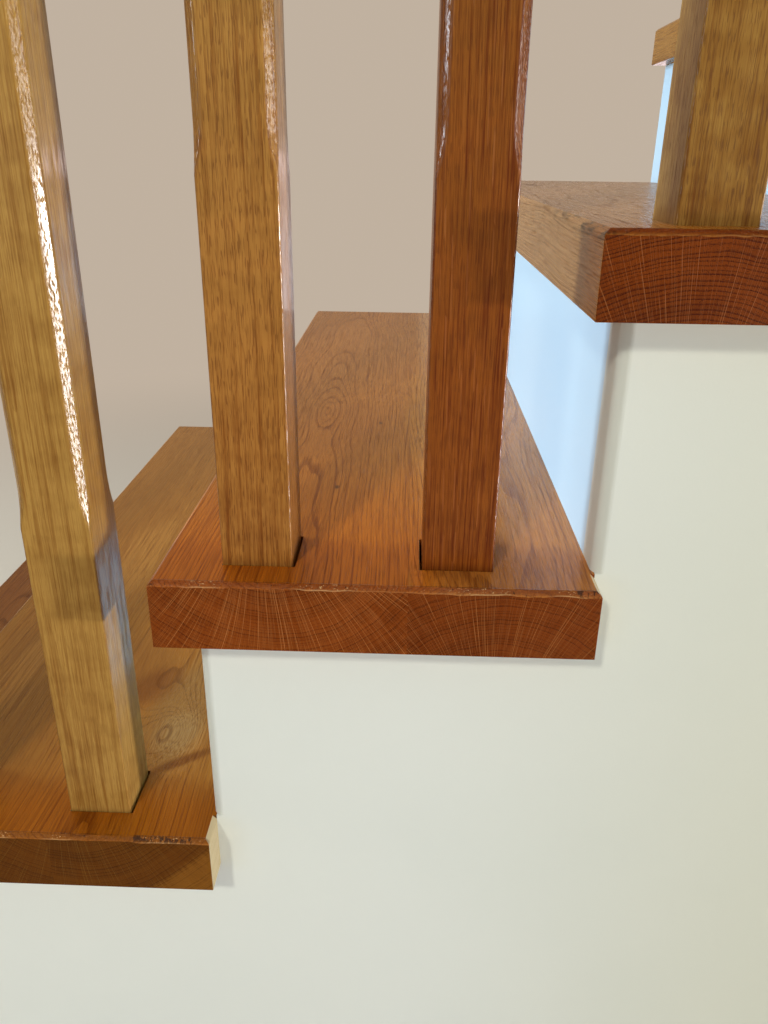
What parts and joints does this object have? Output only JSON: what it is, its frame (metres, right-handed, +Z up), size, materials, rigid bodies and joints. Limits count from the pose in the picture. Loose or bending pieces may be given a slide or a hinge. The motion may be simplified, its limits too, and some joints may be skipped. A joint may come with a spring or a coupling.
{
  "type": "oak staircase",
  "caption": "Straight flight of solid oak steps on a white painted carcass, open on one side with a stop-chamfered oak balustrade.",
  "frame": {"origin": "centre of the bottom newel's foot, on the floor and on the balustrade's middle plane", "axes": "+X up the flight, +Y from the open side to the wall, +Z up"},
  "size_m": [1.468, 0.909, 2.394],
  "materials": {
    "tread_oak": "satin lacquered oak",
    "baluster_oak": "gloss lacquered oak",
    "rail_oak": "gloss lacquered oak",
    "cheek_paint": "matt off-white paint on board",
    "riser_paint": "satin cool white paint on board"
  },
  "bodies": {
    "root": {"tread_1": "tread_oak", "riser_1": "riser_paint", "tread_2": "tread_oak", "riser_2": "riser_paint", "tread_3": "tread_oak", "riser_3": "riser_paint", "tread_4": "tread_oak", "riser_4": "riser_paint", "tread_5": "tread_oak", "riser_5": "riser_paint", "tread_6": "tread_oak", "riser_6": "riser_paint", "open_side_cheek": "cheek_paint", "wall_side_cheek": "cheek_paint", "back_panel": "cheek_paint", "baluster_1b": "baluster_oak", "baluster_2a": "baluster_oak", "baluster_2b": "baluster_oak", "baluster_3a": "baluster_oak", "baluster_3b": "baluster_oak", "baluster_4a": "baluster_oak", "baluster_4b": "baluster_oak", "baluster_5a": "baluster_oak", "baluster_5b": "baluster_oak", "baluster_6a": "baluster_oak", "bottom_newel": "rail_oak", "top_newel": "rail_oak", "bottom_newel_cap": "rail_oak", "top_newel_cap": "rail_oak", "handrail": "rail_oak", "rail_infill": "rail_oak"}
  },
  "joints": []
}
